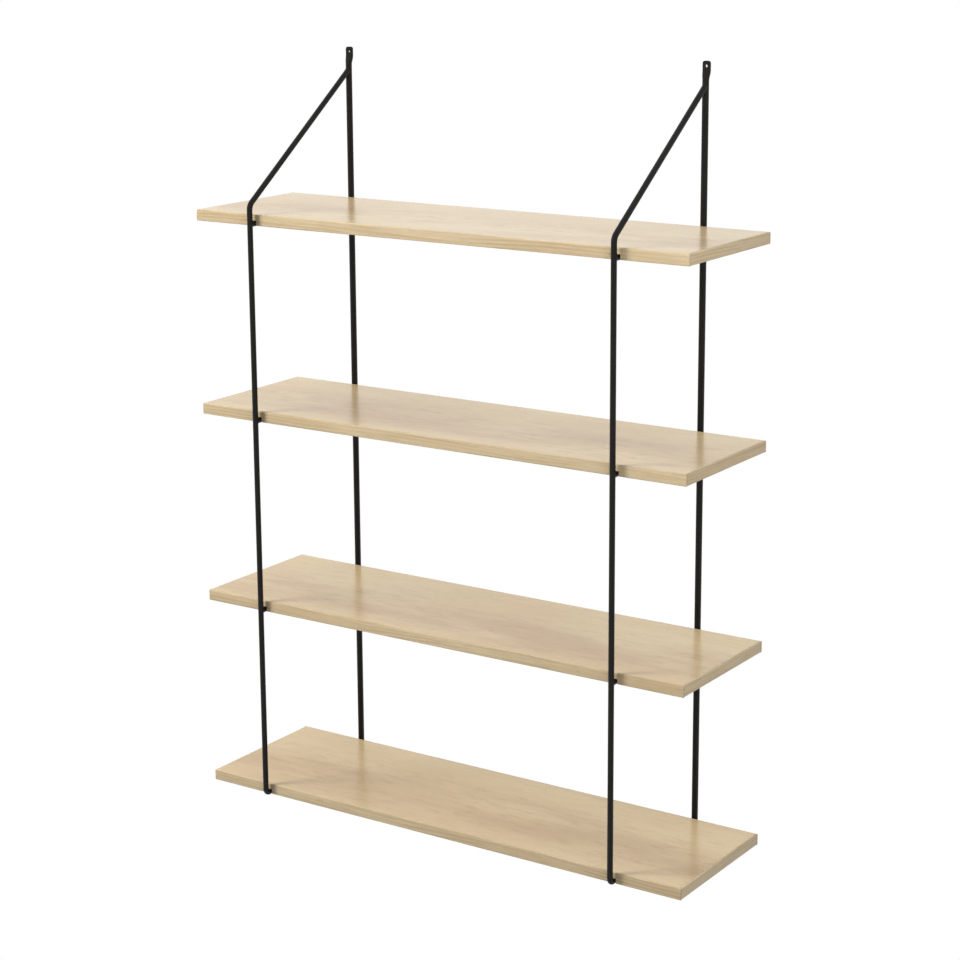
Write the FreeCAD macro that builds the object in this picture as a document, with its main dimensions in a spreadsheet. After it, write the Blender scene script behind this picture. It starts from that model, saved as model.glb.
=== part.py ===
import FreeCAD, Part
import Sketcher
import math
import os

# A wall shelf: two welded wire frames hang from screws and carry four loose boards on their crossbars.
# X runs along the boards, Y points into the wall and Z is up. The wall is the plane Y = 0,
# and the origin lies on it, midway between the two screw holes.

drivingSizes = (
    ("boardLength", 700, "Board, along the wall"),
    ("boardDepth", 195, "Board, from front to rear"),
    ("boardThickness", 14, "Board, panel and bands alike"),
    ("bandThickness", 2, "Edge band"),
    ("edgeRounding", 1.2, "Rounding of a band's outer edges"),
    ("roundingLimitShare", 0.8, "Most of a band that its rounding may take"),
    ("tierPitch", 248, "From one board to the next"),
    ("topBoardDrop", 186.5, "From the screw holes to the top board's upper face"),
    ("frameInset", 91, "From a board's end to the middle of the frame nearest it"),
    ("wireDiameter", 7, "Front wires and crossbars"),
    ("uprightDiameter", 8, "Rear uprights"),
    ("uprightTail", 1.5, "What a rear upright reaches below the lowest wire"),
    ("frontGap", 3.5, "Between a board's front edge and the front upright"),
    ("rearGap", 2, "Between a board's rear edge and the rear upright"),
    ("weldGap", 0.1, "Between a shaped wire end and the upright that it is welded to"),
    ("grooveDepth", 6.5, "Groove in a board's underside for the crossbar"),
    ("grooveSideGap", 0.5, "Between a crossbar and each side of its groove"),
    ("seatGap", 0.3, "Between a crossbar and the roof of its groove"),
    ("footInnerRadius", 2.5, "Inside of the bend at the foot of the front upright"),
    ("strutInnerRadius", 8.5, "Inside of the bend from the front upright to the strut"),
    ("strutFootRise", 12, "From the top board's upper face to where strut and front upright meet"),
    ("strutTopDrop", 22.5, "From the screw holes to where strut and rear upright meet"),
    ("endRounding", 0.8, "Lower end of the rear upright"),
    ("headWidth", 10, "Flattened head of the rear upright"),
    ("headThickness", 4, "Flattened head of the rear upright"),
    ("headRise", 6, "From the screw hole to the top of the head"),
    ("headFlat", 4.5, "From the screw hole to the lower end of the flat"),
    ("headTaper", 12, "From the flat to the round wire"),
    ("headCornerRadius", 3, "Upper corners of the head"),
    ("screwHole", 4, "Diameter of a screw hole"),
    ("cutOverrun", 1, "What a cut reaches past the faces that it opens"),
)

tierNames = ("top", "upper", "lower", "bottom")
bottomTier = len(tierNames) - 1

doc = FreeCAD.newDocument("WallShelf")
sheet = doc.addObject("Spreadsheet::Sheet", "Sizes")
for row, (alias, size, note) in enumerate(drivingSizes, 1):
    sheet.set("A%d" % row, note)
    sheet.set("B%d" % row, str(size))
    sheet.setAlias("B%d" % row, alias)
doc.recompute()

# Formulas over the sheet that several pieces share.
wireRadius = "(Sizes.wireDiameter / 2)"
uprightRadius = "(Sizes.uprightDiameter / 2)"
rearAxisY = "(-%s)" % uprightRadius
boardMiddleY = "(-Sizes.uprightDiameter - Sizes.rearGap - Sizes.boardDepth / 2)"
boardSpace = "(Sizes.rearGap + Sizes.boardDepth + Sizes.frontGap)"
frameDepth = "(%s + %s + %s)" % (uprightRadius, boardSpace, wireRadius)
halfSpacing = "(Sizes.boardLength / 2 - Sizes.frameInset)"


def boardTopZ(tier):
    return "(-Sizes.topBoardDrop - %d * Sizes.tierPitch)" % tier


def undersideZ(tier):
    return "(%s - Sizes.boardThickness)" % boardTopZ(tier)


def crossbarZ(tier):
    return "(%s + Sizes.grooveDepth - Sizes.seatGap - %s)" % (undersideZ(tier), wireRadius)


def number(formula):
    return float(sheet.evalExpression(formula))


def newBody(label, x, y, z):
    body = doc.addObject("PartDesign::Body", label)
    body.Label = label
    for axis, formula in zip("xyz", (x, y, z)):
        body.setExpression("Placement.Base." + axis, formula)
    return body


def originPlane(body, role):
    return next(feature for feature in body.Origin.OriginFeatures if feature.Role == role)


def newSketch(body, role, x="0", y="0", z="0"):
    # The sketch lies on one of the body's own planes, moved within it and along its normal.
    sketch = body.newObject("Sketcher::SketchObject", body.Label + "_sketch")
    sketch.AttachmentSupport = [(originPlane(body, role), "")]
    sketch.MapMode = "FlatFace"
    for axis, formula in zip("xyz", (x, y, z)):
        sketch.setExpression("AttachmentOffset.Base." + axis, formula)
    return sketch


def drive(sketch, formula, kind, *elements):
    index = sketch.addConstraint(Sketcher.Constraint(kind, *elements, number(formula)))
    sketch.setExpression("Constraints[%d]" % index, formula)


def drawRectangle(sketch, width, height):
    # Centred on the sketch's origin.
    right = number(width) / 2
    top = number(height) / 2
    corners = [(-right, -top), (right, -top), (right, top), (-right, top)]
    points = [FreeCAD.Vector(x, y, 0) for x, y in corners]
    for start, end in zip(points, points[1:] + points[:1]):
        sketch.addGeometry(Part.LineSegment(start, end))
    for side in range(len(corners)):
        following = (side + 1) % len(corners)
        sketch.addConstraint(Sketcher.Constraint("Coincident", side, 2, following, 1))
        sketch.addConstraint(Sketcher.Constraint("Vertical" if side % 2 else "Horizontal", side))
    sketch.addConstraint(Sketcher.Constraint("Symmetric", 0, 1, 1, 2, -1, 1))
    drive(sketch, width, "DistanceX", 0, 1, 0, 2)
    drive(sketch, height, "DistanceY", 1, 1, 1, 2)


def drawCircle(sketch, radius):
    # Centred on the sketch's origin.
    sketch.addGeometry(Part.Circle(FreeCAD.Vector(), FreeCAD.Vector(0, 0, 1), number(radius)))
    sketch.addConstraint(Sketcher.Constraint("Coincident", 0, 3, -1, 1))
    drive(sketch, radius, "Radius", 0)


def drawQuarters(sketch, radius):
    # A circle of four arcs that meet on its diagonals, so that it matches a rectangle side by side.
    size = number(radius)
    ring = Part.Circle(FreeCAD.Vector(), FreeCAD.Vector(0, 0, 1), size)
    quarter = math.pi / 2
    for arc in range(4):
        start = quarter / 2 + arc * quarter
        sketch.addGeometry(Part.ArcOfCircle(ring, start, start + quarter))
        sketch.addConstraint(Sketcher.Constraint("Coincident", arc, 3, -1, 1))
    for arc in range(3):
        sketch.addConstraint(Sketcher.Constraint("Coincident", arc, 2, arc + 1, 1))
        level = "Vertical" if arc % 2 else "Horizontal"
        sketch.addConstraint(Sketcher.Constraint(level, arc, 1, arc, 2))
    sketch.addConstraint(Sketcher.Constraint("Vertical", 3, 2, 0, 1))
    drive(sketch, radius, "Radius", 0)
    drive(sketch, "sqrt(2) * " + radius, "DistanceX", 0, 2, 0, 1)


def addPad(body, sketch, length):
    pad = body.newObject("PartDesign::Pad", body.Label + "_pad")
    pad.Profile = sketch
    pad.setExpression("Length", length)
    doc.recompute()
    return pad


def addPocket(body, sketch, length, sideType="One side", reverse=False):
    before = body.Tip.Shape.Volume
    pocket = body.newObject("PartDesign::Pocket", body.Label + "_pocket")
    pocket.Profile = sketch
    pocket.SideType = sideType
    pocket.Reversed = reverse
    pocket.setExpression("Length", length)
    doc.recompute()
    if pocket.Shape.Volume >= before:
        raise RuntimeError("the pocket cuts nothing out of " + body.Label)
    return pocket


def addFillet(body, radius, wanted):
    # Rounds the edges whose two end points pass the test.
    base = body.Tip
    names = []
    for index, edge in enumerate(base.Shape.Edges, 1):
        if wanted(edge.firstVertex().Point, edge.lastVertex().Point):
            names.append("Edge%d" % index)
    fillet = body.newObject("PartDesign::Fillet", body.Label + "_fillet")
    fillet.Base = (base, names)
    fillet.setExpression("Radius", radius)
    doc.recompute()


def cutGrooves(body):
    # The two crossbar grooves in the underside, open at the front and the rear.
    sketch = newSketch(body, "XY_Plane", x=halfSpacing, z="-Sizes.cutOverrun")
    width = "Sizes.wireDiameter + 2 * Sizes.grooveSideGap"
    drawRectangle(sketch, width, "Sizes.boardDepth + 2 * Sizes.cutOverrun")
    pocket = addPocket(body, sketch, "Sizes.grooveDepth + Sizes.cutOverrun", reverse=True)
    mirrored = body.newObject("PartDesign::Mirrored", body.Label + "_mirrored")
    mirrored.Originals = [pocket]
    mirrored.MirrorPlane = (originPlane(body, "YZ_Plane"), [""])
    body.Tip = mirrored
    doc.recompute()


def newSlab(label, tier, width, depth, x="0", y="0"):
    # One piece of a board, full thickness. The body's origin is under the middle of the board.
    body = newBody(label, "0", boardMiddleY, undersideZ(tier))
    sketch = newSketch(body, "XY_Plane", x=x, y=y)
    drawRectangle(sketch, width, depth)
    addPad(body, sketch, "Sizes.boardThickness")
    return body


def roundOuterEdges(band, axis, outside):
    # The band's long edges on its outer face, which lies at the given place on the given axis.
    place = number(outside)
    nearby = number("Sizes.bandThickness") / 2
    upright = number("Sizes.boardThickness") / 2

    def isLongOuterEdge(start, end):
        onOuterFace = all(abs(point[axis] - place) < nearby for point in (start, end))
        return onOuterFace and abs(start.z - end.z) < upright

    limit = "min(Sizes.edgeRounding; Sizes.bandThickness * Sizes.roundingLimitShare)"
    addFillet(band, limit, isLongOuterEdge)


def makeBoard(tier):
    # A panel with a band glued to each edge. The front and rear bands cover the ends of the side bands.
    name = tierNames[tier] + "_board_"
    innerLength = "(Sizes.boardLength - 2 * Sizes.bandThickness)"
    innerDepth = "(Sizes.boardDepth - 2 * Sizes.bandThickness)"
    panel = newSlab(name + "panel", tier, innerLength, innerDepth)
    cutGrooves(panel)
    pieces = [panel]
    for side, sign in (("front", "-"), ("rear", "")):
        middle = "%s(Sizes.boardDepth - Sizes.bandThickness) / 2" % sign
        band = newSlab(name + side + "_band", tier, "Sizes.boardLength", "Sizes.bandThickness", y=middle)
        roundOuterEdges(band, 1, "%sSizes.boardDepth / 2" % sign)
        cutGrooves(band)
        pieces.append(band)
    for side, sign in (("left", "-"), ("right", "")):
        middle = "%s(Sizes.boardLength - Sizes.bandThickness) / 2" % sign
        band = newSlab(name + side + "_band", tier, "Sizes.bandThickness", innerDepth, x=middle)
        roundOuterEdges(band, 0, "%sSizes.boardLength / 2" % sign)
        pieces.append(band)
    return pieces


def cope(body, y, radius, length):
    # Hollows a wire end to the round of the upright that it meets, which has the given radius.
    sketch = newSketch(body, "XY_Plane", y=y)
    drawCircle(sketch, radius + " + Sizes.weldGap")
    addPocket(body, sketch, length, sideType="Symmetric")


def makeCrossbar(side, frameX, tier):
    # A straight wire from upright to upright. The body's origin is on the rear upright's axis.
    body = newBody("%s_%s_crossbar" % (side, tierNames[tier]), frameX, rearAxisY, crossbarZ(tier))
    sketch = newSketch(body, "XZ_Plane")
    drawCircle(sketch, wireRadius)
    addPad(body, sketch, frameDepth)
    for y, radius in (("0", uprightRadius), ("-" + frameDepth, wireRadius)):
        cope(body, y, radius, "2 * (Sizes.wireDiameter + Sizes.cutOverrun)")
    return body


def makeFrontWire(side, frameX):
    # One wire, followed from its rear end: bottom crossbar, bend, front upright, bend and strut.
    # The body's origin is where the bottom crossbar's axis meets the rear upright's.
    body = newBody(side + "_front_wire", frameX, rearAxisY, crossbarZ(bottomTier))
    footRadius = "(Sizes.footInnerRadius + %s)" % wireRadius
    strutRadius = "(Sizes.strutInnerRadius + %s)" % wireRadius
    strutFoot = "(%s + Sizes.strutFootRise - %s)" % (boardTopZ(0), crossbarZ(bottomTier))
    strutTop = "(-Sizes.strutTopDrop - %s)" % crossbarZ(bottomTier)

    front = -number(frameDepth)
    foot = number(footRadius)
    bend = number(strutRadius)
    corner = FreeCAD.Vector(front, number(strutFoot), 0)
    end = FreeCAD.Vector(0, number(strutTop), 0)
    along = (end - corner).normalize()
    turn = math.pi / 2 - math.atan2(along.y, along.x)
    reach = bend * math.tan(turn / 2)
    bendStart = corner - FreeCAD.Vector(0, reach, 0)
    bendEnd = corner + along * reach
    bendMiddle = bendStart + FreeCAD.Vector(bend, 0, 0)
    footMiddle = FreeCAD.Vector(front + foot, foot, 0)
    upward = FreeCAD.Vector(0, 0, 1)

    path = newSketch(body, "YZ_Plane")
    path.addGeometry(Part.LineSegment(FreeCAD.Vector(), FreeCAD.Vector(front + foot, 0, 0)))
    path.addGeometry(Part.ArcOfCircle(Part.Circle(footMiddle, upward, foot), math.pi, 1.5 * math.pi))
    path.addGeometry(Part.LineSegment(FreeCAD.Vector(front, foot, 0), bendStart))
    path.addGeometry(Part.ArcOfCircle(Part.Circle(bendMiddle, upward, bend), math.pi - turn, math.pi))
    path.addGeometry(Part.LineSegment(bendEnd, end))
    path.addGeometry(Part.Point(corner), True)
    crossbar, footArc, upright, strutArc, strut, meeting = range(6)
    for constraint in (
        ("Coincident", crossbar, 1, -1, 1),
        ("Horizontal", crossbar),
        ("Tangent", crossbar, 2, footArc, 2),
        ("Tangent", footArc, 1, upright, 1),
        ("Vertical", upright),
        ("Tangent", upright, 2, strutArc, 2),
        ("Tangent", strutArc, 1, strut, 1),
        ("PointOnObject", strut, 2, -2),
        ("PointOnObject", meeting, 1, upright),
        ("PointOnObject", meeting, 1, strut),
    ):
        path.addConstraint(Sketcher.Constraint(*constraint))
    drive(path, footRadius, "Radius", footArc)
    drive(path, strutRadius, "Radius", strutArc)
    drive(path, frameDepth, "DistanceX", meeting, 1, -1, 1)
    drive(path, strutFoot, "DistanceY", -1, 1, meeting, 1)
    drive(path, strutTop, "DistanceY", -1, 1, strut, 2)

    section = newSketch(body, "XZ_Plane")
    drawCircle(section, wireRadius)
    doc.recompute()
    pipe = body.newObject("PartDesign::AdditivePipe", body.Label + "_pipe")
    pipe.Profile = section
    pipe.Spine = path
    doc.recompute()
    cope(body, "0", uprightRadius, "2 * (%s + Sizes.wireDiameter + Sizes.cutOverrun)" % strutTop)
    return body


def makeRearUpright(side, frameX):
    # A wire that stands against the wall, with its top end pressed flat and drilled for the screw.
    # The body's origin is on the wall, behind the screw hole.
    body = newBody(side + "_rear_upright", frameX, "0", "0")
    lowEnd = "(%s - %s - Sizes.uprightTail)" % (crossbarZ(bottomTier), wireRadius)
    taperEnd = "(-Sizes.headFlat - Sizes.headTaper)"

    wire = newSketch(body, "XY_Plane", y=rearAxisY, z=lowEnd)
    drawCircle(wire, uprightRadius)
    addPad(body, wire, "%s - %s" % (taperEnd, lowEnd))
    nearFoot = number("%s + Sizes.endRounding" % lowEnd)
    addFillet(body, "Sizes.endRounding", lambda start, end: max(start.z, end.z) < nearFoot)

    roundSection = newSketch(body, "XY_Plane", y=rearAxisY, z=taperEnd)
    drawQuarters(roundSection, uprightRadius)
    flatSection = newSketch(body, "XY_Plane", y="-Sizes.headThickness / 2", z="-Sizes.headFlat")
    drawRectangle(flatSection, "Sizes.headWidth", "Sizes.headThickness")
    doc.recompute()
    taper = body.newObject("PartDesign::AdditiveLoft", body.Label + "_taper")
    taper.Profile = roundSection
    taper.Sections = [flatSection]
    doc.recompute()

    head = newSketch(body, "XY_Plane", y="-Sizes.headThickness / 2", z="-Sizes.headFlat")
    drawRectangle(head, "Sizes.headWidth", "Sizes.headThickness")
    addPad(body, head, "Sizes.headFlat + Sizes.headRise")
    middle = number("Sizes.headRise - Sizes.headCornerRadius")

    def isTopCorner(start, end):
        return min(start.z, end.z) > middle and math.isclose(start.x, end.x)

    addFillet(body, "Sizes.headCornerRadius", isTopCorner)
    hole = newSketch(body, "XZ_Plane")
    drawCircle(hole, "Sizes.screwHole / 2")
    addPocket(body, hole, "2 * (Sizes.headThickness + Sizes.cutOverrun)", sideType="Symmetric")
    return body


pieces = []
for tier in range(len(tierNames)):
    pieces += makeBoard(tier)
for side, frameX in (("left", "-" + halfSpacing), ("right", halfSpacing)):
    pieces.append(makeRearUpright(side, frameX))
    pieces.append(makeFrontWire(side, frameX))
    for tier in range(bottomTier):
        pieces.append(makeCrossbar(side, frameX, tier))
doc.recompute()

for item in doc.Objects:
    if "Invalid" in item.State or "Error" in item.State:
        raise RuntimeError(item.Label + " failed to rebuild")
for piece in pieces:
    if piece.Shape.isNull() or not piece.Shape.isValid() or len(piece.Shape.Solids) != 1:
        raise RuntimeError(piece.Label + " is not one valid solid")

os.makedirs("parts", exist_ok=True)
for piece in pieces:
    piece.Shape.exportStep("parts/%s.step" % piece.Label)
    box = piece.Shape.BoundBox
    print("%-28s %9.1f mm3  %7.2f x %7.2f x %7.2f mm" % (
        piece.Label, piece.Shape.Volume, box.XLength, box.YLength, box.ZLength))
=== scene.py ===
import bpy
import bmesh
import math
import numpy as np
from mathutils import Euler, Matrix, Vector


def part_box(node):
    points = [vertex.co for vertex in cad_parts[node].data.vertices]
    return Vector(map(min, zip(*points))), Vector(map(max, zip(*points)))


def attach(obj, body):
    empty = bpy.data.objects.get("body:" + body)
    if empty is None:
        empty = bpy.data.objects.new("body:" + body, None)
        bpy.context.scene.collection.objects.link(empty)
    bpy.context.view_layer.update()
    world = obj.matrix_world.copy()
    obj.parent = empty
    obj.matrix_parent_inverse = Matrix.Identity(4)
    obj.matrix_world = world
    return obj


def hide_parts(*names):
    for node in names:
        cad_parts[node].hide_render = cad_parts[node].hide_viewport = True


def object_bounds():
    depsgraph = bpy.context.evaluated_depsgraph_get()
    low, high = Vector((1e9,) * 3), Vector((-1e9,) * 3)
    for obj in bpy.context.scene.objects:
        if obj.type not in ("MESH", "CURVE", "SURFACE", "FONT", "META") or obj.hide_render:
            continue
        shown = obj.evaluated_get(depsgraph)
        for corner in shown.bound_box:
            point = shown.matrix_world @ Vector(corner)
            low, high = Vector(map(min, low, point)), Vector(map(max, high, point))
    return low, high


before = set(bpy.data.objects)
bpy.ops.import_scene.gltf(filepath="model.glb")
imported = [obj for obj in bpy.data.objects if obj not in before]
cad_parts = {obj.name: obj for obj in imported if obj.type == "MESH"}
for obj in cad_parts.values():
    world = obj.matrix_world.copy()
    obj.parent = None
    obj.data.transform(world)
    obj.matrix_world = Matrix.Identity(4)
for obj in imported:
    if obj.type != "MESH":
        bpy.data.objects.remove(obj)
cadLow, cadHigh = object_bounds()
print("frame loaded,", len(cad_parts), "nodes")

tiers = ("top", "upper", "lower", "bottom")
sides = ("left", "right")


# Meshes from grids of points

def fullTurn(count):
    return np.linspace(0, 2 * math.pi, count, endpoint=False)


def quarterTurn(count):
    return np.linspace(0, math.pi / 2, count)


def gridFaces(rows, columns):
    # Quads between neighbouring rows of rings: each ring closes on itself.
    row, column = np.meshgrid(np.arange(rows - 1), np.arange(columns), indexing="ij")
    beside = (column + 1) % columns
    ring = row * columns
    nextRing = ring + columns
    corners = [ring + column, ring + beside, nextRing + beside, nextRing + column]
    return np.stack(corners, -1).reshape(-1, 4).tolist()


def addPiece(name, rings, materials, sharpAngle, mergeReach=0):
    # A closed skin over the rings, with a face across the first ring and one across the last.
    rows, columns = rings.shape[:2]
    faces = gridFaces(rows, columns)
    faces.append(list(range(columns)))
    faces.append(list(range((rows - 1) * columns, rows * columns)))
    mesh = bpy.data.meshes.new(name)
    mesh.from_pydata(rings.reshape(-1, 3).tolist(), [], faces)
    skin = bmesh.new()
    skin.from_mesh(mesh)
    if mergeReach:
        bmesh.ops.remove_doubles(skin, verts=skin.verts, dist=mergeReach)
    bmesh.ops.recalc_face_normals(skin, faces=skin.faces)
    skin.to_mesh(mesh)
    skin.free()
    mesh.shade_smooth()
    mesh.set_sharp_from_angle(angle=math.radians(sharpAngle))
    for material in materials:
        mesh.materials.append(material)
    piece = bpy.data.objects.new(name, mesh)
    bpy.context.scene.collection.objects.link(piece)
    return piece


def settle(piece, body, node):
    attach(piece, body)
    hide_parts(node)


# Shader nodes

def connect(tree, value, socket):
    if isinstance(value, bpy.types.NodeSocket):
        tree.links.new(value, socket)
    else:
        socket.default_value = value


def addNode(tree, kind, inputs=None, **settings):
    node = tree.nodes.new(kind)
    for name, value in settings.items():
        setattr(node, name, value)
    for name, value in (inputs or {}).items():
        connect(tree, value, node.inputs[name])
    return node


def maths(tree, operation, first, second=0.0):
    return addNode(tree, "ShaderNodeMath", {0: first, 1: second}, operation=operation).outputs[0]


def vectorMaths(tree, operation, first, second):
    return addNode(tree, "ShaderNodeVectorMath", {0: first, 1: second}, operation=operation).outputs[0]


def blend(tree, share, low, high):
    return addNode(tree, "ShaderNodeMix", {0: share, 6: low, 7: high}, data_type="RGBA").outputs[2]


def rise(tree, value, low, high, start=0.0, end=1.0):
    # Smooth step from start to end while the value goes from low to high.
    inputs = {"Value": value, "From Min": low, "From Max": high, "To Min": start, "To Max": end}
    return addNode(tree, "ShaderNodeMapRange", inputs, interpolation_type="SMOOTHSTEP").outputs[0]


def stretchedNoise(tree, point, scale, detail, roughness):
    # Noise whose grains are as long in each direction as one over the scale, in metres.
    spread = vectorMaths(tree, "MULTIPLY", point, scale)
    inputs = {"Vector": spread, "Scale": 1.0, "Detail": detail, "Roughness": roughness}
    return addNode(tree, "ShaderNodeTexNoise", inputs).outputs[0]


def swing(tree, noise, reach):
    # How far the noise is from its middle, a half, times the reach.
    return maths(tree, "MULTIPLY", maths(tree, "SUBTRACT", noise, 0.5), reach)


def objectPlace(tree):
    return addNode(tree, "ShaderNodeTexCoord").outputs["Object"]


def addBump(tree, shader, height, make):
    inputs = {"Height": height, "Strength": make["bump"], "Distance": make["bumpDepth"]}
    connect(tree, addNode(tree, "ShaderNodeBump", inputs).outputs[0], shader["Normal"])


def newGroup(name, inputs, outputs):
    group = bpy.data.node_groups.new(name, "ShaderNodeTree")
    for label, kind in inputs:
        group.interface.new_socket(name=label, in_out="INPUT", socket_type=kind)
    for label in outputs:
        group.interface.new_socket(name=label, in_out="OUTPUT", socket_type="NodeSocketFloat")
    return group, group.nodes.new("NodeGroupInput").outputs, group.nodes.new("NodeGroupOutput").inputs


def newMaterial(name):
    material = bpy.data.materials.new(name)
    material.use_nodes = True
    tree = material.node_tree
    return material, tree, tree.nodes["Principled BSDF"].inputs


# Oak print, shared by the faces and the edge bands

# Noises: grains per metre along the print, across it and in its depth, then detail and roughness.
# Rises and falls: where they start and end, then the values there, which are 0 and 1 if not given.
grainMake = {
    "heartNoise": ((0.0, 0.0, 11.0), 0.0, 0.5), "heart": 0.07,
    "swayNoise": ((2.4, 8.0, 8.0), 1.0, 0.5), "sway": 0.034,
    "raggedNoise": ((9.0, 90.0, 90.0), 2.0, 0.5), "ragged": 1.1,
    "lateRise": (0.15, 0.80), "lateFall": (0.82, 0.98, 1.0, 0.0),
    "fadeNoise": ((7.0, 110.0, 110.0), 1.0, 0.5), "fadeRise": (0.36, 0.62, 0.15, 1.0),
    "coreFall": (0.2, 1.0, 1.0, 0.0),
    "brownNoise": ((3.4, 12.0, 12.0), 2.0, 0.55), "brownRise": (0.34, 0.66),
    "brownSeat": (-0.38, -1.78, -1.05),
    "fleckNoise": ((30.0, 125.0, 125.0), 4.0, 0.7), "fleckRise": (0.44, 0.78),
    "fleckOutside": 0.4, "fleckAtHeart": 0.6,
    "poreNoise": ((95.0, 1900.0, 1900.0), 1.0, 0.5), "poreRise": (0.60, 0.70),
    "poreFall": (0.35, 0.75, 1.0, 0.15),
    "fibreNoise": ((14.0, 420.0, 420.0), 4.0, 0.65),
    "cloudNoise": ((2.6, 9.0, 9.0), 2.0, 0.5),
}
grainSettings = ("Arch", "Lines", "Slope", "Zone")


def makeGrain():
    # The grain runs along the point's first axis, and the second crosses it.
    inputs = [("Point", "NodeSocketVector")] + [(label, "NodeSocketFloat") for label in grainSettings]
    outputs = ("Ring", "Heart", "Fibre", "Fleck", "Pore", "Cloud")
    group, given, result = newGroup("oakGrain", inputs, outputs)
    point = given["Point"]
    along, aside, _ = addNode(group, "ShaderNodeSeparateXYZ", {0: point}).outputs
    # Across is the way from the heart of the plank, which lies elsewhere in each board and sways along it.
    heart = swing(group, stretchedNoise(group, point, *grainMake["heartNoise"]), grainMake["heart"])
    sway = swing(group, stretchedNoise(group, point, *grainMake["swayNoise"]), grainMake["sway"])
    across = maths(group, "ADD", maths(group, "SUBTRACT", aside, heart), sway)
    # The rings are level lines of arch * across^2 + lines * across + slope * along, roughened by noise.
    rings = maths(group, "MULTIPLY", maths(group, "MULTIPLY", across, across), given["Arch"])
    rings = maths(group, "ADD", rings, maths(group, "MULTIPLY", across, given["Lines"]))
    rings = maths(group, "ADD", rings, maths(group, "MULTIPLY", along, given["Slope"]))
    ragged = stretchedNoise(group, point, *grainMake["raggedNoise"])
    rings = maths(group, "ADD", rings, maths(group, "MULTIPLY", ragged, grainMake["ragged"]))
    phase = maths(group, "FRACT", rings)
    lateRise = rise(group, phase, *grainMake["lateRise"])
    late = maths(group, "MULTIPLY", lateRise, rise(group, phase, *grainMake["lateFall"]))
    # The dark rim of a ring fades in and out along the plank.
    fade = rise(group, stretchedNoise(group, point, *grainMake["fadeNoise"]), *grainMake["fadeRise"])
    late = maths(group, "MULTIPLY", late, fade)
    # Near the heart the wood is browner and more flecked.
    offside = maths(group, "ABSOLUTE", across)
    core = rise(group, maths(group, "DIVIDE", offside, given["Zone"]), *grainMake["coreFall"])
    seat = vectorMaths(group, "ADD", point, grainMake["brownSeat"])
    browner = rise(group, stretchedNoise(group, seat, *grainMake["brownNoise"]), *grainMake["brownRise"])
    fleck = rise(group, stretchedNoise(group, point, *grainMake["fleckNoise"]), *grainMake["fleckRise"])
    fleckShare = maths(group, "MULTIPLY", core, grainMake["fleckAtHeart"])
    fleckShare = maths(group, "ADD", fleckShare, grainMake["fleckOutside"])
    pore = rise(group, stretchedNoise(group, point, *grainMake["poreNoise"]), *grainMake["poreRise"])
    poreShare = rise(group, phase, *grainMake["poreFall"])
    connect(group, late, result["Ring"])
    connect(group, maths(group, "MULTIPLY", core, browner), result["Heart"])
    connect(group, maths(group, "MULTIPLY", fleck, fleckShare), result["Fleck"])
    connect(group, maths(group, "MULTIPLY", pore, poreShare), result["Pore"])
    connect(group, stretchedNoise(group, point, *grainMake["fibreNoise"]), result["Fibre"])
    connect(group, stretchedNoise(group, point, *grainMake["cloudNoise"]), result["Cloud"])
    return group


grainGroup = makeGrain()
oakMake = {
    "cloudRise": (0.30, 0.70), "fibreRise": (0.35, 0.70), "glossRise": (0.30, 0.75),
    "fibreRelief": 0.4,
}


def makeOak(name, order, make):
    # Order says which way the print runs, which way crosses it and which way is its depth.
    material, tree, shader = newMaterial(name)
    shift = {"Vector": objectPlace(tree), "Location": make["shift"]}
    place = addNode(tree, "ShaderNodeMapping", shift).outputs[0]
    ways = addNode(tree, "ShaderNodeSeparateXYZ", {0: place}).outputs
    turned = {way: ways[axis] for way, axis in enumerate(order)}
    point = addNode(tree, "ShaderNodeCombineXYZ", turned).outputs[0]
    grain = addNode(tree, "ShaderNodeGroup", node_tree=grainGroup)
    connect(tree, point, grain.inputs["Point"])
    for setting in grainSettings:
        grain.inputs[setting].default_value = make[setting]
    out = grain.outputs
    tone = blend(tree, rise(tree, out["Cloud"], *oakMake["cloudRise"]), make["pale"], make["warm"])
    marks = {mark: out[mark] for mark in ("Heart", "Ring", "Fleck", "Fibre", "Pore")}
    marks["Fibre"] = rise(tree, out["Fibre"], *oakMake["fibreRise"])
    for mark, strength in marks.items():
        share, colour = make[mark]
        tone = blend(tree, maths(tree, "MULTIPLY", strength, share), tone, colour)
    if "glue" in make:
        # A dark line of glue where this band ends against the next one.
        glueEnd, glueWidth, glueShare, glueColour = make["glue"]
        reach = maths(tree, "ABSOLUTE", ways[order[0]])
        line = rise(tree, reach, glueEnd - glueWidth, glueEnd - glueWidth / 2, 0.0, glueShare)
        tone = blend(tree, line, tone, glueColour)
    connect(tree, tone, shader["Base Color"])
    connect(tree, rise(tree, out["Fibre"], *oakMake["glossRise"], *make["gloss"]), shader["Roughness"])
    # Fibres stand up a little, and pores are sunk.
    relief = maths(tree, "MULTIPLY", out["Fibre"], oakMake["fibreRelief"])
    addBump(tree, shader, maths(tree, "SUBTRACT", relief, out["Pore"]), make)
    return material


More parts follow.
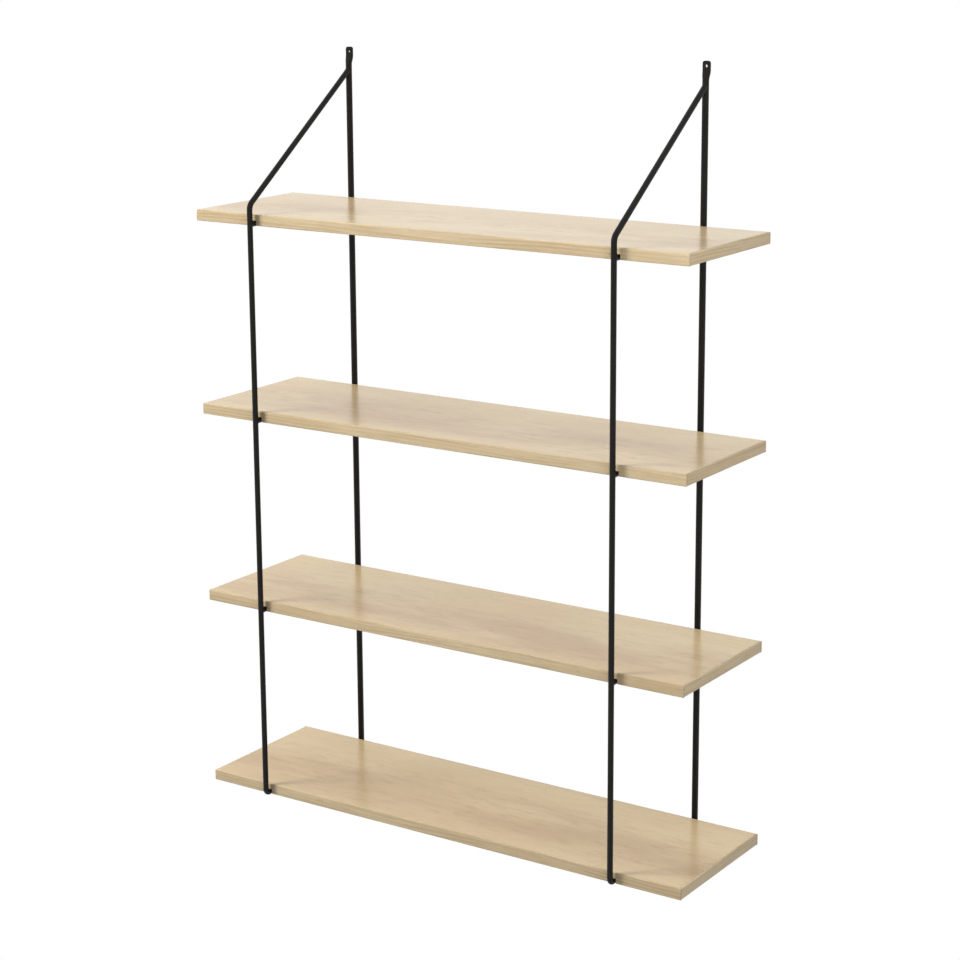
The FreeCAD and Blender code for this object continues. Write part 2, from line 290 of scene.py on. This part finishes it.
# Each mark of the print has its share and its colour.
boardLow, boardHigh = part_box("top_board_panel")
boardMiddleY = (boardLow.y + boardHigh.y) / 2
printForward = 0.020  # from the board's middle to the heart of its print
faceMake = {
    "shift": (0, printForward - boardMiddleY, 0),
    "Arch": 1500.0, "Lines": 25.0, "Slope": 10.0, "Zone": 0.080,
    "pale": (0.674, 0.534, 0.311, 1), "warm": (0.606, 0.453, 0.243, 1),
    "Heart": (0.75, (0.480, 0.325, 0.175, 1)), "Ring": (0.08, (0.47, 0.33, 0.185, 1)),
    "Fleck": (0.55, (0.390, 0.235, 0.120, 1)), "Fibre": (0.15, (0.46, 0.325, 0.18, 1)),
    "Pore": (0.35, (0.33, 0.22, 0.13, 1)),
    "gloss": (0.20, 0.27), "bump": 0.12, "bumpDepth": 0.0002,
}
bandMake = {
    "shift": (0, 0, 0),
    "Arch": 0.0, "Lines": 233.7, "Slope": 1.5, "Zone": 50.0,
    "pale": (0.710, 0.580, 0.375, 1), "warm": (0.615, 0.475, 0.280, 1),
    "Heart": (0.10, (0.48, 0.345, 0.19, 1)), "Ring": (0.55, (0.41, 0.29, 0.155, 1)),
    "Fleck": (0.22, (0.40, 0.265, 0.14, 1)), "Fibre": (0.25, (0.445, 0.32, 0.175, 1)),
    "Pore": (0.30, (0.34, 0.23, 0.12, 1)),
    "gloss": (0.45, 0.58), "bump": 0.2, "bumpDepth": 0.0002,
}
# The end bands stop behind the front and rear ones, where glue shows: its end, width, share and colour.
endLow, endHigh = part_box("top_board_right_band")
endMake = {
    **bandMake, "shift": (0, -(endLow.y + endHigh.y) / 2, 0),
    "glue": ((endHigh.y - endLow.y) / 2, 0.0006, 0.75, (0.14, 0.09, 0.045, 1)),
}
oakFace = makeOak("oakFace", (0, 1, 2), faceMake)
oakLongEdge = makeOak("oakLongEdge", (0, 2, 1), bandMake)
oakEndEdge = makeOak("oakEndEdge", (1, 2, 0), endMake)


# Bare chipboard, where the grooves cut through the foil

coreMake = {
    "chipScale": (520.0, 900.0, 900.0),
    "pale": (0.50, 0.36, 0.21, 1), "dark": (0.23, 0.145, 0.075, 1),
    "roughness": 0.85, "bump": 0.6, "bumpDepth": 0.0004,
}


def makeCore():
    material, tree, shader = newMaterial("bareChipboard")
    spread = vectorMaths(tree, "MULTIPLY", objectPlace(tree), coreMake["chipScale"])
    chips = addNode(tree, "ShaderNodeTexVoronoi", {"Vector": spread, "Scale": 1.0}).outputs
    grey = addNode(tree, "ShaderNodeSeparateColor", {0: chips["Color"]}).outputs[0]
    connect(tree, blend(tree, grey, coreMake["pale"], coreMake["dark"]), shader["Base Color"])
    shader["Roughness"].default_value = coreMake["roughness"]
    addBump(tree, shader, chips["Distance"], coreMake)
    return material


bareChipboard = makeCore()


# Satin black powder coat

coatMake = {
    "black": (0.0060, 0.0056, 0.0052, 1), "worn": (0.0105, 0.0098, 0.0090, 1), "wornRise": (0.35, 0.70),
    "peelNoise": ((900.0, 900.0, 900.0), 2.0, 0.6), "patchNoise": ((40.0, 40.0, 25.0), 3.0, 0.6),
    "peelShare": 0.5, "patchShare": 0.5, "glossRise": (0.30, 0.70), "gloss": (0.36, 0.52),
    "shine": 0.18, "bump": 0.12, "bumpDepth": 0.0003,
}


def makeCoat():
    material, tree, shader = newMaterial("blackPowderCoat")
    place = objectPlace(tree)
    peel = stretchedNoise(tree, place, *coatMake["peelNoise"])
    patch = stretchedNoise(tree, place, *coatMake["patchNoise"])
    worn = rise(tree, patch, *coatMake["wornRise"])
    connect(tree, blend(tree, worn, coatMake["black"], coatMake["worn"]), shader["Base Color"])
    peelPart = maths(tree, "MULTIPLY", peel, coatMake["peelShare"])
    patchPart = maths(tree, "MULTIPLY", patch, coatMake["patchShare"])
    grain = maths(tree, "ADD", peelPart, patchPart)
    connect(tree, rise(tree, grain, *coatMake["glossRise"], *coatMake["gloss"]), shader["Roughness"])
    shader["Specular IOR Level"].default_value = coatMake["shine"]
    addBump(tree, shader, peel, coatMake)
    return material


blackCoat = makeCoat()
print("materials made")


# Boards: a panel with two grooves under it, and a band on each edge

boardMake = {
    "grooveWidth": 0.008, "grooveDepth": 0.0065,
    "arris": 0.0012, "arrisSteps": 8,
    "seam": 0.00012, "seamSteps": 1, "corner": 0.0003, "cornerSteps": 2, "bevelAngle": 50,
    "panelSharp": 30, "bandSharp": 40, "mergeReach": 1e-6, "faceReach": 1e-5,
}
frameX = [sum(corner.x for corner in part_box(side + "_rear_upright")) / 2 for side in sides]


def softenEdges(piece, width, steps):
    bevel = piece.modifiers.new("softEdges", "BEVEL")
    bevel.width = width
    bevel.segments = steps
    bevel.limit_method = "ANGLE"
    bevel.angle_limit = math.radians(boardMake["bevelAngle"])


def grooveEdges():
    # The two sides of each groove, which lies about the middle of its frame.
    half = boardMake["grooveWidth"] / 2
    return [x + offset for x in frameX for offset in (-half, half)]


def makePanel(tier):
    # The outline of the board seen from the front, carried from the front edge to the rear.
    node = tier + "_board_panel"
    low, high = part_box(node)
    roof = low.z + boardMake["grooveDepth"]
    first, second, third, fourth = grooveEdges()
    outline = np.array([
        (low.x, low.z), (first, low.z), (first, roof), (second, roof), (second, low.z),
        (third, low.z), (third, roof), (fourth, roof), (fourth, low.z),
        (high.x, low.z), (high.x, high.z), (low.x, high.z)])
    depths = np.array([low.y, high.y])
    rings = np.empty((len(depths), len(outline), 3))
    rings[:, :, 0] = outline[:, 0]
    rings[:, :, 1] = depths[:, None]
    rings[:, :, 2] = outline[:, 1]
    materials = (oakFace, bareChipboard)
    panel = addPiece(tier + "_board_faced_panel", rings, materials, boardMake["panelSharp"])
    # Only the top and the underside have the print: the grooves and the panel's own edges are bare.
    centres = np.empty(len(panel.data.polygons) * 3)
    panel.data.polygons.foreach_get("center", centres)
    heights = centres.reshape(-1, 3)[:, 2]
    bare = (heights > low.z + boardMake["faceReach"]) & (heights < high.z - boardMake["faceReach"])
    panel.data.polygons.foreach_set("material_index", bare.astype(np.int32))
    softenEdges(panel, boardMake["seam"], boardMake["seamSteps"])
    settle(panel, tier + "_board", node)


def bandOutline(thickness, height):
    # Across the band, from the inner face at 0 to the outer face, with the two outer edges rounded.
    radius = boardMake["arris"]
    angle = quarterTurn(boardMake["arrisSteps"])
    lower = np.c_[thickness - radius + radius * np.sin(angle), radius - radius * np.cos(angle)]
    upper = np.c_[lower[::-1, 0], height - lower[::-1, 1]]
    return np.vstack([[(0, 0)], lower, upper, [(0, height)]])


def makeBand(tier, side):
    # The outline carried along the band. Where a groove opens, each height is the larger of the outline's
    # own and the groove's, so the underside steps up to the groove's roof.
    node = "%s_board_%s_band" % (tier, side)
    low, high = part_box(node)
    isLong = side in ("front", "rear")
    acrossAxis = 1 if isLong else 0
    alongAxis = 1 - acrossAxis
    outline = bandOutline(high[acrossAxis] - low[acrossAxis], high.z - low.z)
    stations = np.array([low[alongAxis], high[alongAxis]])
    raised = np.zeros(2)
    if isLong:
        stations = np.r_[low.x, np.repeat(grooveEdges(), 2), high.x]
        raised = np.repeat([0, 1, 0, 1, 0], 2) * boardMake["grooveDepth"]
    outward = -1 if side in ("front", "left") else 1
    inner = high[acrossAxis] if outward < 0 else low[acrossAxis]
    rings = np.empty((len(stations), len(outline), 3))
    rings[:, :, alongAxis] = stations[:, None]
    rings[:, :, acrossAxis] = inner + outward * outline[:, 0]
    rings[:, :, 2] = low.z + np.maximum(outline[:, 1], raised[:, None])
    materials = (oakLongEdge if isLong else oakEndEdge,)
    name = "%s_board_%s_edging" % (tier, side)
    band = addPiece(name, rings, materials, boardMake["bandSharp"], boardMake["mergeReach"])
    softenEdges(band, boardMake["corner"], boardMake["cornerSteps"])
    settle(band, tier + "_board", node)


for tier in tiers:
    makePanel(tier)
    for side in ("front", "rear", "left", "right"):
        makeBand(tier, side)
print("boards made")


# Wires of the two frames

wireMake = {
    "radius": 0.0035, "sides": 32, "bendSteps": 14, "sharp": 60,
    "weldReach": 0.0026, "weldFlare": 0.0008, "weldSink": 0.00006, "weldSteps": 7,
    "footRadius": 0.0060, "strutRadius": 0.0120, "strutFootRise": 0.012, "strutTopZ": -0.0225,
    "uprightRadius": 0.004,
}
rearY = cadHigh.y - wireMake["uprightRadius"]
frontY = cadLow.y + wireMake["radius"]
strutFootZ = boardHigh.z + wireMake["strutFootRise"]
rearUpright = (rearY, wireMake["uprightRadius"])
frontUpright = (frontY, wireMake["radius"])


def unit(vectors):
    return vectors / np.linalg.norm(vectors, axis=-1, keepdims=True)


def bentPath(corners, radii):
    # Straight runs through the corners, each corner rounded by an arc that touches both runs.
    points = [corners[:1]]
    headings = [corners[1:2] - corners[:1]]
    for index, radius in enumerate(radii, 1):
        into = unit(corners[index] - corners[index - 1])
        onward = unit(corners[index + 1] - corners[index])
        turn = math.acos(into @ onward)
        inward = unit(onward - into * (into @ onward))
        start = corners[index] - into * radius * math.tan(turn / 2)
        angle = np.linspace(0, turn, wireMake["bendSteps"])[:, None]
        points.append(start + radius * (np.sin(angle) * into + (1 - np.cos(angle)) * inward))
        headings.append(np.cos(angle) * into + np.sin(angle) * inward)
    points.append(corners[-1:])
    headings.append(corners[-1:] - corners[-2:-1])
    return np.vstack(points), unit(np.vstack(headings))


def addWeldStations(points, headings):
    # More stations at both ends, evenly along the straight, where the weld swells the wire.
    count = wireMake["weldSteps"]
    reach = np.linspace(0, wireMake["weldReach"], count)[:, None]
    first = points[:1] + headings[:1] * reach
    last = points[-1:] - headings[-1:] * reach[::-1]
    firstHeadings = np.repeat(headings[:1], count, 0)
    lastHeadings = np.repeat(headings[-1:], count, 0)
    return np.vstack([first, points[1:-1], last]), np.vstack([firstHeadings, headings[1:-1], lastHeadings])


def makeWire(name, corners, radii, uprights, node):
    # A circle carried along the bent path, square to it. Towards each end the rings grow taller with the
    # square of the way gone, and slide along the wire until the last one lies on the upright's round.
    radius = wireMake["radius"]
    points, headings = addWeldStations(*bentPath(corners, radii))
    angle = fullTurn(wireMake["sides"])
    sideways = np.array([1.0, 0.0, 0.0])
    upwards = np.cross(sideways, headings)
    count = wireMake["weldSteps"]
    share = np.linspace(1, 0, count)
    swell = np.zeros(len(points))
    swell[:count] = share ** 2
    swell[-count:] = share[::-1] ** 2
    tall = radius + wireMake["weldFlare"] * swell
    rings = points[:, None] + radius * np.cos(angle)[None, :, None] * sideways
    rings = rings + (tall[:, None] * np.sin(angle))[:, :, None] * upwards[:, None]
    for ends, (uprightY, reach) in zip((slice(0, count), slice(-1, -count - 1, -1)), uprights):
        facing = np.sign(rings[ends][-1, 0, 1] - uprightY)
        hollow = np.sqrt(np.maximum(reach ** 2 - (radius * np.cos(angle)) ** 2, 0)) - wireMake["weldSink"]
        heading = headings[ends][0]
        gap = (uprightY + facing * hollow - rings[ends][0, :, 1]) / heading[1]
        rings[ends] += (share[:, None] * gap)[:, :, None] * heading
    wire = addPiece(name, rings, (blackCoat,), wireMake["sharp"])
    settle(wire, "wall_frames", node)


def makeCrossbar(side, x, tier):
    # One straight run, from the rear upright's round to the front one's.
    node = "%s_%s_crossbar" % (side, tier)
    low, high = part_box(node)
    middle = (low.z + high.z) / 2
    rearEnd = (x, rearY - wireMake["uprightRadius"], middle)
    frontEnd = (x, frontY + wireMake["radius"], middle)
    makeWire(node + "_bar", np.array([rearEnd, frontEnd]), (), (rearUpright, frontUpright), node)


def makeFrontWire(side, x):
    # Forward under the bottom board, up the front, and back on the strut's line, which rises evenly from
    # the front upright's middle to the rear one's and stops at its round.
    node = side + "_front_wire"
    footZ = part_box(node)[0].z + wireMake["radius"]
    strutRise = (wireMake["strutTopZ"] - strutFootZ) / (rearY - frontY)
    tangentY = rearY - wireMake["uprightRadius"]
    strutEndZ = wireMake["strutTopZ"] - strutRise * wireMake["uprightRadius"]
    corners = np.array([
        (x, tangentY, footZ), (x, frontY, footZ), (x, frontY, strutFootZ), (x, tangentY, strutEndZ)])
    bends = (wireMake["footRadius"], wireMake["strutRadius"])
    makeWire(node + "_bent", corners, bends, (rearUpright, rearUpright), node)


for side, x in zip(sides, frameX):
    makeFrontWire(side, x)
    for tier in tiers[:-1]:
        makeCrossbar(side, x, tier)
print("wires made")


# Rear uprights, pressed flat and drilled at the top

uprightMake = {
    "sides": 48, "sharp": 40, "footRounding": 0.0008, "footSteps": 6,
    "headWidth": 0.010, "headThickness": 0.004, "headSquareness": 5.0,
    "headFlat": 0.0045, "flatSteps": 8, "headTaper": 0.012, "taperSteps": 24,
    "headCorner": 0.003, "cornerSteps": 14, "headEdge": 0.0006,
    "holeRadius": 0.002, "holeSides": 40, "bitReach": (-2, 1),  # the reach counts the head's thickness
}


def smooth(share):
    # Three times the square less twice the cube, between 0 and 1.
    share = np.clip(share, 0, 1)
    return share * share * (3 - 2 * share)


def drill(upright, x):
    # A plain round bit through the head, a circle carried straight back, taken out of the mesh.
    angle = fullTurn(uprightMake["holeSides"])
    reach = np.array(uprightMake["bitReach"]) * uprightMake["headThickness"]
    rings = np.empty((len(reach), len(angle), 3))
    rings[:, :, 0] = x + uprightMake["holeRadius"] * np.cos(angle)
    rings[:, :, 1] = reach[:, None]
    rings[:, :, 2] = uprightMake["holeRadius"] * np.sin(angle)
    bit = addPiece("bit", rings, (blackCoat,), uprightMake["sharp"])
    cut = upright.modifiers.new("screwHole", "BOOLEAN")
    cut.object = bit
    cut.operation = "DIFFERENCE"
    cut.solver = "EXACT"
    bpy.context.view_layer.update()
    whole = upright.data
    drilled = upright.evaluated_get(bpy.context.evaluated_depsgraph_get())
    upright.data = bpy.data.meshes.new_from_object(drilled)
    upright.modifiers.clear()
    bpy.data.objects.remove(bit)
    bpy.data.meshes.remove(whole)
    upright.data.set_sharp_from_angle(angle=math.radians(uprightMake["sharp"]))


def makeUpright(side, x):
    # Rings up the wire. The section is a superellipse whose power goes smoothly from 2, a circle, to the
    # head's squareness, a flat bar with rounded edges, and it keeps its back on the wall.
    node = side + "_rear_upright"
    low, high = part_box(node)
    radius = wireMake["uprightRadius"]
    rounding = uprightMake["footRounding"]
    flatZ = -uprightMake["headFlat"]
    taperZ = flatZ - uprightMake["headTaper"]
    corner = uprightMake["headCorner"]
    edge = uprightMake["headEdge"]
    footAngle = quarterTurn(uprightMake["footSteps"])
    cornerAngle = quarterTurn(uprightMake["cornerSteps"])
    footZ = low.z + rounding * (1 - np.cos(footAngle))
    taper = np.linspace(taperZ, flatZ, uprightMake["taperSteps"])
    flat = np.linspace(flatZ, high.z - corner, uprightMake["flatSteps"])[1:-1]
    cornerZ = high.z - corner + corner * np.sin(cornerAngle)
    heights = np.r_[footZ, taper, flat, cornerZ]
    share = smooth((heights - taperZ) / (flatZ - taperZ))
    wide = radius + (uprightMake["headWidth"] / 2 - radius) * share
    thick = radius + (uprightMake["headThickness"] / 2 - radius) * share
    power = 2 / (2 + (uprightMake["headSquareness"] - 2) * share)
    # Quarter circles round the foot on all sides, the head's two corners seen from the front, and its top
    # edge seen from the side.
    trim = np.zeros_like(heights)
    trim[:len(footZ)] = rounding * (1 - np.sin(footAngle))
    cut = np.zeros_like(heights)
    cut[-len(cornerZ):] = corner * (1 - np.cos(cornerAngle))
    thin = np.sqrt(np.maximum(edge ** 2 - np.maximum(heights - (high.z - edge), 0) ** 2, 0)) - edge
    angle = fullTurn(uprightMake["sides"])
    cosine = np.sign(np.cos(angle)) * np.abs(np.cos(angle)) ** power[:, None]
    sine = np.sign(np.sin(angle)) * np.abs(np.sin(angle)) ** power[:, None]
    rings = np.empty((len(heights), len(angle), 3))
    rings[:, :, 0] = x + (wide - trim - cut)[:, None] * cosine
    rings[:, :, 1] = cadHigh.y - thick[:, None] + (thick - trim + thin)[:, None] * sine
    rings[:, :, 2] = heights[:, None]
    upright = addPiece(node + "_pressed", rings, (blackCoat,), uprightMake["sharp"])
    drill(upright, x)
    settle(upright, "wall_frames", node)


for side, x in zip(sides, frameX):
    makeUpright(side, x)
print("uprights made")


# Floor far below, light and camera

stageMake = {
    "floorDrop": 0.9, "floorReach": 9.0, "floorColour": (0.85, 0.85, 0.85, 1), "floorRoughness": 0.9,
    "shadeReach": 0.45, "glowReach": 1.2,
    "white": (1, 1, 1, 1), "roomLight": 0.26, "wallLight": 0.82, "wallRise": (-0.5, 0.5),
}


def seenRay(tree):
    # 1 for a ray from the camera, a reflection or glass, which see the background white.
    path = addNode(tree, "ShaderNodeLightPath").outputs
    thrown = maths(tree, "MAXIMUM", path["Is Glossy Ray"], path["Is Transmission Ray"])
    return maths(tree, "MAXIMUM", path["Is Camera Ray"], thrown)


def mixShaders(tree, share, first, second):
    return addNode(tree, "ShaderNodeMixShader", {0: share, 1: first, 2: second}).outputs[0]


def makeFloor():
    # A square far below. Under the shelf it takes shadow, further out it glows, and from below it is clear.
    reach = stageMake["floorReach"]
    z = cadLow.z - stageMake["floorDrop"]
    corners = [(-reach, -reach, z), (reach, -reach, z), (reach, reach, z), (-reach, reach, z)]
    mesh = bpy.data.meshes.new("floor")
    mesh.from_pydata(corners, [], [(0, 1, 2, 3)])
    floor = bpy.data.objects.new("floor", mesh)
    bpy.context.scene.collection.objects.link(floor)
    material, tree, shader = newMaterial("paleFloor")
    shader["Base Color"].default_value = stageMake["floorColour"]
    shader["Roughness"].default_value = stageMake["floorRoughness"]
    matt = tree.nodes["Principled BSDF"].outputs[0]
    apart = addNode(tree, "ShaderNodeSeparateXYZ", {0: objectPlace(tree)}).outputs
    flat = addNode(tree, "ShaderNodeCombineXYZ", {0: apart[0], 1: apart[1]}).outputs[0]
    away = addNode(tree, "ShaderNodeVectorMath", {0: flat}, operation="LENGTH").outputs["Value"]
    strength = maths(tree, "MAXIMUM", seenRay(tree), stageMake["roomLight"])
    glow = addNode(tree, "ShaderNodeEmission", {0: stageMake["white"], 1: strength}).outputs[0]
    far = rise(tree, away, stageMake["shadeReach"], stageMake["glowReach"])
    below = addNode(tree, "ShaderNodeNewGeometry").outputs["Backfacing"]
    clear = addNode(tree, "ShaderNodeBsdfTransparent").outputs[0]
    surface = mixShaders(tree, below, mixShaders(tree, far, matt, glow), clear)
    connect(tree, surface, tree.nodes["Material Output"].inputs[0])
    mesh.materials.append(material)


def makeWorld():
    # The pale wall behind gives more light than the room in front.
    world = bpy.data.worlds.new("studio")
    world.use_nodes = True
    tree = world.node_tree
    around = addNode(tree, "ShaderNodeTexCoord").outputs["Generated"]
    way = addNode(tree, "ShaderNodeSeparateXYZ", {0: around}).outputs
    light = rise(tree, way[1], *stageMake["wallRise"], stageMake["roomLight"], stageMake["wallLight"])
    soft = addNode(tree, "ShaderNodeBackground", {0: stageMake["white"], 1: light}).outputs[0]
    white = addNode(tree, "ShaderNodeBackground", {0: stageMake["white"], 1: 1.0}).outputs[0]
    connect(tree, mixShaders(tree, seenRay(tree), soft, white), tree.nodes["World Output"].inputs[0])
    bpy.context.scene.world = world


lampMake = {
    "key": {"place": (-1.72, -1.76, 0.75), "aim": (0, -0.1, -0.55), "size": 0.8, "power": 60.0},
    "fill": {"place": (0.90, -0.75, 0.05), "aim": (0.35, -0.1, -0.30), "size": 0.6, "power": 4.5},
    "above": {"place": (-0.55, -0.40, 1.45), "aim": (0, -0.1, -0.55), "size": 1.2, "power": 8.4},
}


def makeLamps():
    for name, make in lampMake.items():
        light = bpy.data.lights.new(name, "AREA")
        light.size = make["size"]
        light.energy = make["power"]
        lamp = bpy.data.objects.new(name, light)
        lamp.location = make["place"]
        lamp.rotation_euler = (Vector(make["aim"]) - lamp.location).to_track_quat("-Z", "Y").to_euler()
        lamp.visible_camera = False
        lamp.visible_glossy = False  # no bright patch of a lamp in the tops
        bpy.context.scene.collection.objects.link(lamp)


cameraMake = {
    "yaw": 33.764, "pitch": 12.856, "roll": -0.375, "distance": 2.7402,
    "target": (0.0744, -0.205, -0.4052), "sensor": 36.0, "lens": 87.573, "rise": -0.0626,
}


def makeCamera():
    # Looks at the target from the given distance, turned by yaw round the upright axis and down by pitch.
    data = bpy.data.cameras.new("photoCamera")
    data.sensor_width = cameraMake["sensor"]
    data.lens = cameraMake["lens"]
    data.shift_y = cameraMake["rise"]
    camera = bpy.data.objects.new("photoCamera", data)
    yaw, pitch, roll = (math.radians(cameraMake[name]) for name in ("yaw", "pitch", "roll"))
    ahead = Vector((-math.sin(yaw) * math.cos(pitch), math.cos(yaw) * math.cos(pitch), -math.sin(pitch)))
    camera.location = Vector(cameraMake["target"]) - ahead * cameraMake["distance"]
    level = Euler((math.pi / 2 - pitch, 0, yaw)).to_quaternion()
    camera.rotation_mode = "QUATERNION"
    camera.rotation_quaternion = level @ Euler((0, 0, roll)).to_quaternion()
    bpy.context.scene.collection.objects.link(camera)
    bpy.context.scene.camera = camera


makeFloor()
makeWorld()
makeLamps()
makeCamera()
bpy.context.scene.view_settings.view_transform = "Standard"
print("stage made")
